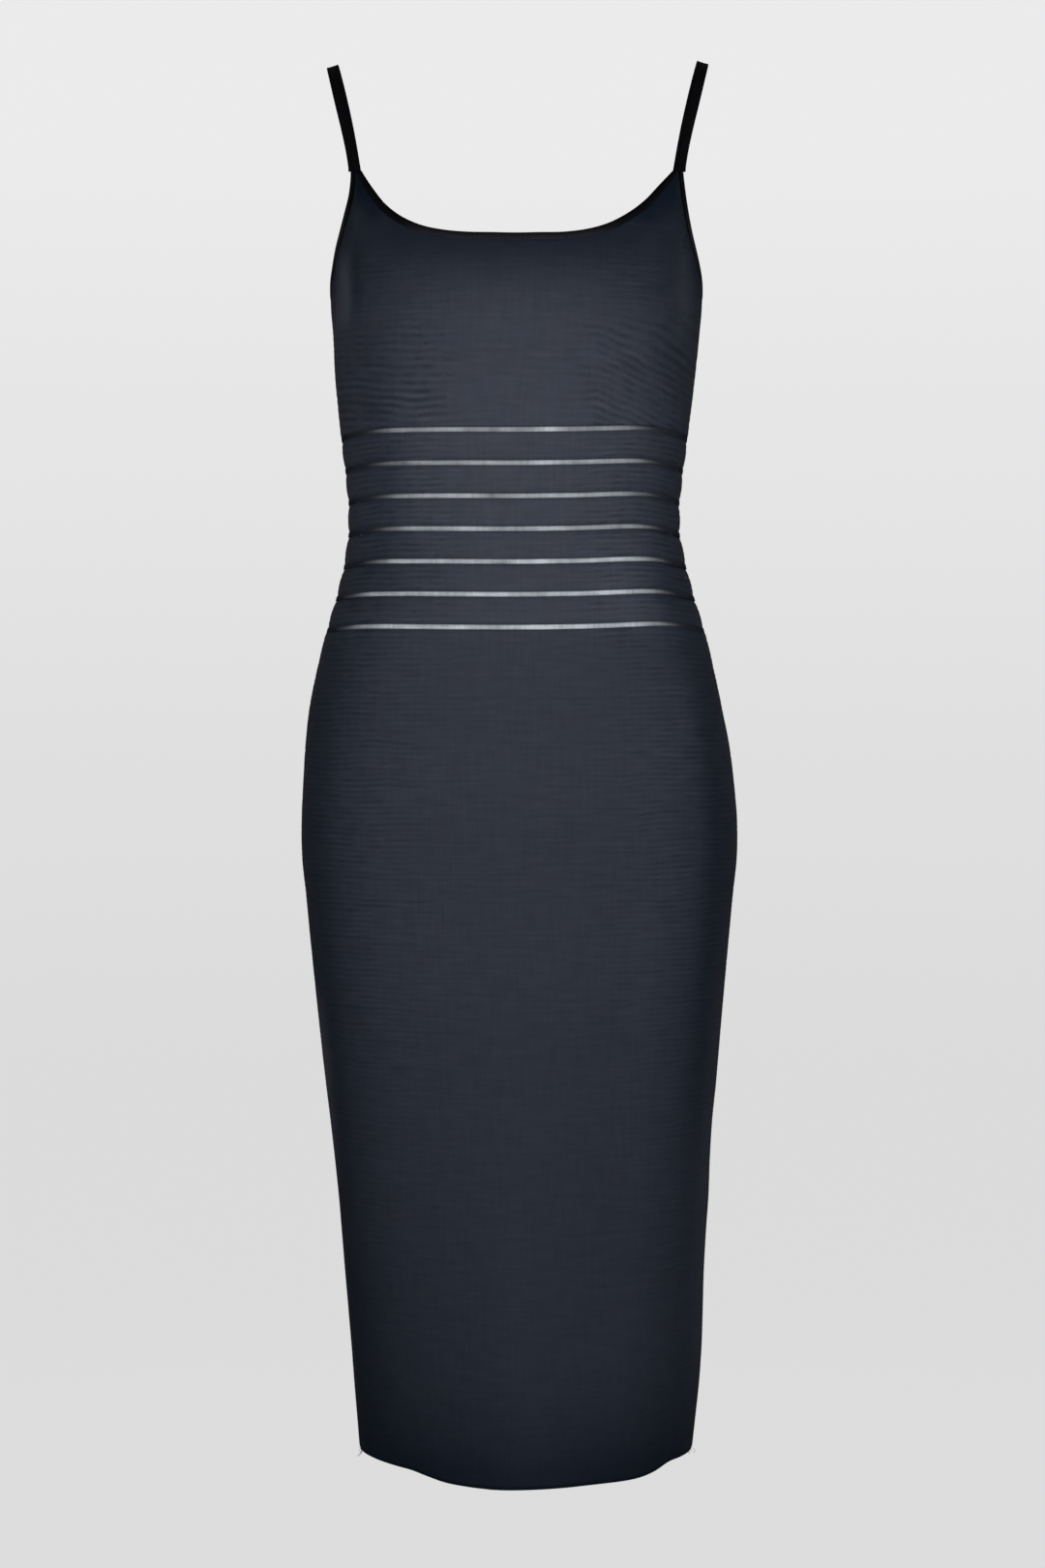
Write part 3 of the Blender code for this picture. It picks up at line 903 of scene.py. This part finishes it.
def bodicePanel(face):
    node = f"bodice_{face}"
    fine = finerGrid(wallGrid(node), bodice["rows"], bodice["columnsEach"], bodice["peaks"])
    points = longer(facingOut(fine), panels["lap"])
    level = points[:, :, 2] + (droop(points) if face == "front" else 0)
    slant = np.abs(np.gradient(level, axis=1))
    most, steepest = bodice["calmFrom"]
    calm = np.clip(most - slant / (steepest * ribs["pitch"]), 0, 1)
    worn = np.minimum(level - ribs["ruckFrom"], 0)
    level += worn * (ribs["pitch"] / ribs["wornPitch"] - 1)
    height, ribTone = ribbing(points, level, calm)
    height += seamHeight(points) + creaseHeight(points, face)
    fromEdge = points[:1, :, 2] - points[:, :, 2]
    atBottom = 1 - smoothStep(0, panels["rolledEdge"], points[:, :, 2] - points[-1:, :, 2])
    height -= bodice["lowerRoll"] * atBottom
    # painted shade below the neckline, on the rolled bottom edge and beside the armhole seam
    least, near, far = bodice["neckShade"]
    tone = paintedClothShading(points, face) * ribTone * atLeast(least, smoothStep(near, far, fromEdge))
    tone *= atLeast(panels["darkEdge"], 1 - atBottom)
    armhole = smoothStep(*bodice["armholeFrom"], np.abs(points[:1, :, 0]))
    inwards = np.linalg.norm(points - points[:1], axis=2)
    depth, near, far = bodice["armholeShade"]
    tone *= 1 - depth * armhole * (1 - smoothStep(near, far, inwards))
    laid = raised(points, height)
    fromMiddle = np.abs(np.arange(points.shape[1]) - (points.shape[1] - 1) / 2)
    fromPeak = np.abs(fromMiddle - bodice["peakFromMiddle"] * bodice["columnsEach"])
    least, columns = bodice["underPeak"]
    reach = bodice["underBinding"] * atLeast(least, smoothStep(0, columns, fromPeak))
    # the tucked rows painted darker, as shade under the binding
    under = bodice["underBindingShade"] * tone[:1]
    return layCloth(f"bodice_{face}_cloth", np.concatenate([tuckedUnder(laid, reach), laid]),
                    panels["thickness"], "charcoal_knit", np.concatenate([under, under, tone]))


bands = {
    "ribCount": 5,
    "rows": 24,
    "crown": 0.0007,
    "crownRound": 0.6,
    "pinch": (0.8, 0.081, 0.135),  # how much more it stands out at its sides, and between which widths
    # painted shade along the edges beside the stripes: the share left at the edge, and how far in it
    # fades
    "edgeShade": (0.66, 0.0022),
    "ribsApart": (9, 300),  # so that each band's ribs have their own unevenness
}


def bandPanel(face, number):
    node = f"band_{face}_{number}"
    fine = finerGrid(wallGrid(node), bands["rows"], panels["columnsEach"])
    points = longer(facingOut(fine), panels["lap"])
    share = np.linspace(0, 1, points.shape[0])[:, None] * np.ones(points.shape[1])
    tall = bands["ribCount"] * ribs["pitch"]
    fromEdge = np.minimum(share, 1 - share) * tall
    each, first = bands["ribsApart"]
    height, ribTone = ribbing(points, share * tall + (number * each + first) * ribs["pitch"])
    more, start, end = bands["pinch"]
    crown = bands["crown"] * (1 + more * smoothStep(start, end, np.abs(points[:, :, 0])))
    height += seamHeight(points) + creaseHeight(points, face)
    height += crown * (np.sin(math.pi * share) ** bands["crownRound"] - 1)
    least, width = bands["edgeShade"]
    tone = paintedClothShading(points, face) * ribTone * atLeast(least, smoothStep(0, width, fromEdge))
    return layCloth(f"band_{face}_{number}_cloth", raised(points, height), panels["thickness"],
                    "charcoal_knit", tone)


skirt = {
    "ribCount": 157,
    "wander": (0.0005, 90, 37),  # how far the ribs wander, and the turns across and up
    "wanderFrom": (-0.4, -0.6),
    "upperRoll": 0.0005,
    # painted shade along the top edge beside the stripe
    "upperShade": 0.0020,
    "hemRoll": 0.0007,
    "hemReach": 0.0032,
    # painted shade in the rolled hem: how dark, and from what share of its reach it fades
    "hemShade": 0.55,
    "hemShadeFrom": 0.3,
}


def skirtPanel(face):
    node = f"skirt_{face}"
    fine = finerGrid(wallGrid(node), skirt["ribCount"] * ribs["rowsEach"], panels["columnsEach"])
    points = longer(facingOut(fine), panels["lap"])
    share = np.linspace(0, 1, points.shape[0])[:, None] * np.ones(points.shape[1])
    x, z = points[:, :, 0], points[:, :, 2]
    far, across, up = skirt["wander"]
    wander = far * np.sin(x * across + z * up) * smoothStep(*skirt["wanderFrom"], z)
    height, ribTone = ribbing(points, share * skirt["ribCount"] * ribs["pitch"] + wander)
    fromHem, fromTop = z - z[-1:], z[:1] - z
    reach = skirt["hemReach"]
    height += seamHeight(points) + creaseHeight(points, face)
    height -= skirt["hemRoll"] * (1 - smoothStep(0, reach, fromHem))
    height -= skirt["upperRoll"] * (1 - smoothStep(0, panels["rolledEdge"], fromTop))
    tone = paintedClothShading(points, face) * ribTone
    # painted shade along the top edge and in the rolled hem
    tone *= atLeast(panels["darkEdge"], smoothStep(0, skirt["upperShade"], fromTop))
    tone *= 1 - skirt["hemShade"] * (1 - smoothStep(skirt["hemShadeFrom"] * reach, reach, fromHem))
    return layCloth(f"skirt_{face}_cloth", raised(points, height), panels["thickness"],
                    "charcoal_knit", tone)


sheers = {
    "thickness": 0.0008,
    "columnsEach": 18,
    "rows": 6,
    "reach": 0.00022,
    # painted shade along the strip's top and bottom edges: the share of its tone left there
    "edgeTone": 0.20,
    "fade": 0.036,
    "thinnest": 0.45,  # how wide the light middle still is where a stripe fades
    "middle": (0.45, 1.25),
    "threadDepth": 0.00012,
    "mottles": ((0.09, 61, 1.7), (0.07, 143, 2.9), (0.06, 331, 4.1)),  # strength, turns, start
}

stripeLight = [
    # number, left end, right end, usual light, then painted highlights, a few of them darker dips
    # (place, reach, strength)
    (1, -0.121, 0.110, 0.46, (0.024, 0.010, 0.54), (-0.050, 0.012, 0.12), (-0.018, 0.007, -0.12)),
    (2, -0.119, 0.113, 0.52, (0.020, 0.012, 0.46), (-0.088, 0.012, -0.10), (0.070, 0.016, 0.08)),
    (3, -0.117, 0.114, 0.52, (-0.040, 0.010, 0.26), (0.014, 0.012, 0.16), (-0.019, 0.006, -0.18)),
    (4, -0.116, 0.116, 0.53, (-0.038, 0.011, 0.46), (0.026, 0.012, 0.28), (0.092, 0.010, 0.10)),
    (5, -0.123, 0.122, 0.72, (0.018, 0.008, 0.26), (-0.013, 0.009, -0.34), (0.076, 0.018, 0.12)),
    (6, -0.140, 0.126, 0.74, (0.070, 0.009, 0.26), (-0.016, 0.020, 0.12)),
    (7, -0.144, 0.130, 0.76, (0.026, 0.016, 0.50), (-0.044, 0.010, 0.14), (0.090, 0.010, 0.12)),
]


def sheerStrip(face, number):
    # a little taller than its stripe, so that it meets the bands, lightest along its middle with
    # painted shade towards its edges, with painted highlights at its bright spots, and fading to its
    # shadow colour towards its ends
    node = f"sheer_{face}_{number}"
    strip = wallGrid(node)
    lift = (strip[:1] - strip[-1:]) / np.linalg.norm(strip[:1] - strip[-1:], axis=2, keepdims=True)
    strip = np.concatenate([strip[:1] + lift * sheers["reach"], strip[-1:] - lift * sheers["reach"]])
    fine = finerGrid(strip, sheers["rows"], sheers["columnsEach"])
    points = longer(facingOut(fine), panels["lap"])
    _, left, right, usual, *spots = stripeLight[number - 1]
    x = points[:, :, 0]
    fade = sheers["fade"]
    ends = smoothStep(left, left + fade, x) * (1 - smoothStep(right - fade, right, x))
    light = usual * (1 + sum(strength * np.sin(x * turns + number * start)
                             for strength, turns, start in sheers["mottles"]))
    for place, reach, strength in spots:
        light = light + strength * np.exp(-((x - place) / reach) ** 2)
    across = np.abs(np.linspace(-1, 1, points.shape[0]))[:, None] * np.ones(points.shape[1])
    core = atLeast(sheers["thinnest"], ends)
    full, gone = sheers["middle"]
    profile = 1 - (1 - sheers["edgeTone"]) * smoothStep(full * core, gone * core, across)
    height = -sheers["threadDepth"] * (np.arange(points.shape[1])[None, :] % 2) * np.ones_like(x)
    return layCloth(f"sheer_{face}_{number}_mesh", raised(points, height), sheers["thickness"],
                    "sheer_mesh", np.clip(ends * light * profile, 0, 1))


cloths = {}
for face in ("front", "back"):
    cloths[f"bodice_{face}"] = bodicePanel(face)
    for number in range(1, stripeCount):
        cloths[f"band_{face}_{number}"] = bandPanel(face, number)
    for number in range(1, stripeCount + 1):
        cloths[f"sheer_{face}_{number}"] = sheerStrip(face, number)
    cloths[f"skirt_{face}"] = skirtPanel(face)
print("panels laid:", len(cloths))


# bindings and straps

tapes = {
    "alongEach": 5,
    "foldedDepth": 0.0020,
    "ply": 0.0004,
    "leafSteps": 5,
    "foldSteps": 6,
    "roll": (0.0003, 0.3),  # how deep and over what share of the leaf its free edge rolls in
    "edgeFade": (0.15, 0.5),
    # painted shade over the fold: how dark, and over what share of the leaf it grows
    "foldShade": (0.75, 0.62, 0.95),
    # painted shade on the inner leaf
    "insideTone": 0.35,
    # tone at the free edge: a painted highlight along the neck's crest, painted shade along the
    # armhole's seam
    "neckEdge": 1.25,
    "armEdge": 0.15,
    # the tapes' tones, the armhole's painted lighter for the light its sideways face would catch
    "neckTone": 0.31,
    "armTone": 0.80,
    # painted shade: side, how much blacker it gets as it climbs to the strap, and from where to where
    # across
    "neckClimbs": ((-1, 0.80, 0.066, 0.092), (1, 0.76, 0.050, 0.085)),
    # painted shade up to the strap: the share of its tone left at the top, and the heights between
    # which it gets there
    "armClimb": (0.12, -0.112, -0.150),
}


def neckTone(line):
    # painted shade: blackest where it climbs to the straps, and sooner so on the wearer's left
    tone = np.full(len(line), tapes["neckTone"])
    for side, depth, start, end in tapes["neckClimbs"]:
        tone *= 1 - depth * smoothStep(start, end, side * line[:, 0])
    return tone


def armTone(line):
    # painted shade: blackest where it climbs to the straps
    least, top, low = tapes["armClimb"]
    return tapes["armTone"] * atLeast(least, smoothStep(top, low, line[:, 2]))


def foldedTape(name, node, toneOf, edgeTone, **grid):
    # a strip folded over the cloth's edge: up the outer leaf, round the fold and down inside
    line = wallGrid(node, seams=False, **grid)
    fine = finerGrid(line, 2, tapes["alongEach"])
    fold, free = fine[0], fine[-1]
    outward = normalsOf(fine)[1]
    middle = len(fold) // 2
    if outward[middle] @ np.array([fold[middle, 0], fold[middle, 1], 0]) < 0:
        outward = -outward
    wide = np.linalg.norm(fold - free, axis=1)
    radius = tapes["foldedDepth"] / 2
    leaf = np.linspace(0, 1, tapes["leafSteps"] + 1)
    turns = np.linspace(0, math.pi, tapes["foldSteps"] + 1)[1:-1]
    rollDepth, rollShare = tapes["roll"]
    foldDark, foldFrom, foldTo = tapes["foldShade"]
    rows, depths, tones = [], [], []
    for share in leaf:
        rows.append(share * (wide - radius))
        depths.append(rollDepth * (1 - smoothStep(0, rollShare, share)))
        # the free edge's tone, painted light at the neck and painted shade at the armhole, then
        # painted shade towards the fold
        seam = atLeast(edgeTone, smoothStep(*tapes["edgeFade"], share))
        tones.append(seam * (1 - foldDark * smoothStep(foldFrom, foldTo, share)))
    for turn in turns:
        rows.append(wide - radius + radius * math.sin(turn))
        depths.append(radius * (1 - math.cos(turn)))
    for share in leaf[::-1]:
        rows.append(share * (wide - radius))
        depths.append(2 * radius)
    tones += [tapes["insideTone"]] * (len(rows) - len(tones))
    across = np.array(rows)
    placed = free + (across / wide)[:, :, None] * (fold - free)
    placed -= outward * np.array(depths)[:, None, None]
    steps = np.linalg.norm(np.diff(placed, axis=0), axis=2)
    up = np.concatenate([np.zeros((1, steps.shape[1])), np.cumsum(steps, axis=0)])
    if normalsOf(placed)[2, middle] @ outward[middle] < 0:
        placed, up, fold = placed[:, ::-1], up[:, ::-1], fold[::-1]
    shade = np.array(tones)[:, None] * toneOf(fold)
    return layCloth(name, placed, tapes["ply"], "black_binding", shade, up)


straps = {
    "acrossSteps": 6,
    "alongEach": 5,
    "crown": 0.0003,
    "thickness": 0.0018,
    "rounding": 0.0004,
    # how far the front end and the back end reach, and how far they are tucked in
    "endReach": (0.0005, 0.0035),
    "endTuck": (0.0004, 0.0012),
    # painted shade: the straps painted nearly black, and darker still at their edges
    "tone": 0.07,
    "edgeShade": 0.4,
    "squareness": 4,
}


def strapTape(name, node, side):
    # a doubled tape, a little longer at each end so that it tucks in behind the bindings
    line = wallGrid(node, outwardFromShoulder, seams=False,
                    edgeKey=lambda p: side * p.x, startKey=lambda p: side * p.y)
    points = finerGrid(line, straps["acrossSteps"], straps["alongEach"])
    ends = [0, -1] if points[0, 0, 1] < points[0, -1, 1] else [-1, 0]
    points = longer(points, [straps["endReach"][end] for end in ends])
    share = np.linspace(-1, 1, points.shape[0])[:, None] * np.ones(points.shape[1])
    up = share * np.linalg.norm(points[0] - points[-1], axis=1) / 2
    # painted shade: nearly black, darker towards the edges
    atEdges = share ** straps["squareness"]
    tone = straps["tone"] * (1 - straps["edgeShade"] * atEdges)
    height = -straps["crown"] * atEdges
    height[:, ends] -= straps["endTuck"]
    return layCloth(name, raised(points, height), straps["thickness"], "black_binding", tone, up,
                    straps["rounding"])


for face in ("front", "back"):
    cloths[f"neck_binding_{face}"] = foldedTape(f"neck_binding_{face}_fold", f"neck_binding_{face}",
                                                neckTone, tapes["neckEdge"])
for hand, side in (("left", 1), ("right", -1)):
    cloths[f"armhole_binding_{hand}"] = foldedTape(
        f"armhole_binding_{hand}_fold", f"armhole_binding_{hand}", armTone, tapes["armEdge"],
        edgeKey=lambda p: abs(p.x) + p.z, startKey=lambda p: p.y)
    cloths[f"strap_{hand}"] = strapTape(f"strap_{hand}_tape", f"strap_{hand}", side)
print("bindings folded:", len(cloths))

# a few yarn ends that have worked loose at the hem's corners

yarnEnds = {
    "radius": 0.00013,
    "drop": 0.0016,
    "stray": 0.0015,
    "strayEachWay": (1, 0.4, 0.5),
    "aboveHem": 0.0006,
    "firstAt": 0.3,
    "tone": 0.5,
    "smoothness": 4,
    # corner of the hem, number of its end, of the point it runs along to, how many, over how far
    "tufts": (("right", 0, 1, 7, 0.017), ("left", -1, -3, 3, 0.012)),
}


def looseYarn(name, corner, away, count, spread):
    # short limp ends, each from its own place along the hem
    chance = np.random.RandomState(len(name))
    strands = []
    for number in range(count):
        start = corner + away * spread * (number + yarnEnds["firstAt"]) / count
        start[2] += yarnEnds["aboveHem"]
        deselectAll()
        bpy.ops.curve.primitive_nurbs_path_add(location=(0, 0, 0))
        strand = bpy.context.object
        spline = strand.data.splines[0]
        drift = np.zeros(3)
        for step, point in enumerate(spline.points):
            point.co = (*(start + drift), 1)
            drift = drift + chance.uniform(-1, 1, 3) * yarnEnds["stray"] * yarnEnds["strayEachWay"]
            drift[2] -= yarnEnds["drop"] * chance.uniform(0.2, 1.0)
        strand.data.bevel_depth = yarnEnds["radius"]
        strand.data.bevel_resolution = 0
        strand.data.resolution_u = yarnEnds["smoothness"]
        strand.data.use_fill_caps = True
        bpy.ops.object.convert(target="MESH")
        strands.append(bpy.context.object)
    deselectAll()
    for strand in strands:
        strand.select_set(True)
    bpy.context.view_layer.objects.active = strands[0]
    bpy.ops.object.join()
    piece = bpy.context.object
    piece.name = name
    shade = piece.data.attributes.new("tone", "FLOAT", "POINT")
    shade.data.foreach_set("value", np.full(len(piece.data.vertices), yarnEnds["tone"]))
    piece.data.uv_layers.new(name="clothMap")
    bpy.ops.object.shade_smooth()
    piece.data.materials.clear()
    piece.data.materials.append(finishes["charcoal_knit"])
    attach(piece, "root")
    return piece


hem = wallGrid("skirt_front")[-1]
for hand, end, onward, count, spread in yarnEnds["tufts"]:
    away = (hem[onward] - hem[end]) / np.linalg.norm(hem[onward] - hem[end])
    looseYarn(f"hem_yarn_{hand}", hem[end], away, count, spread)
print("yarn ends left loose")

for node, piece in cloths.items():
    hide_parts(node)


# what each piece was cut to before it was worn

cutting = {
    "stretch": 1.12,
    "strapWidth": 0.0104,  # as it lies flat, a little wider than under tension
}


def flatSize(piece):
    # half the girth and the height of a worn panel, with the girth as it was before stretching
    mesh = piece.data
    spots = np.zeros(len(mesh.loops) * 2)
    mesh.uv_layers["clothMap"].data.foreach_get("uv", spots)
    spots = spots.reshape(-1, 2)
    widest, tallest = np.ptp(spots, axis=0)
    area = sum(face.area for face in mesh.polygons) / 2
    return widest / cutting["stretch"], tallest, area


def declareSheet(node):
    piece = cloths[node]
    width, length, area = flatSize(piece)
    print(f"  {node}: cut {width * 1000:.0f} x {length * 1000:.0f} mm")


for face in ("front", "back"):
    declareSheet(f"bodice_{face}")
    for number in range(1, stripeCount):
        declareSheet(f"band_{face}_{number}")
    declareSheet(f"skirt_{face}")
for hand in ("left", "right"):
    width, length = cutting["strapWidth"], flatSize(cloths[f"strap_{hand}"])[0]
    print(f"  strap_{hand}: cut {width * 1000:.1f} x {length * 1000:.0f} mm")
print("cut sizes stated")
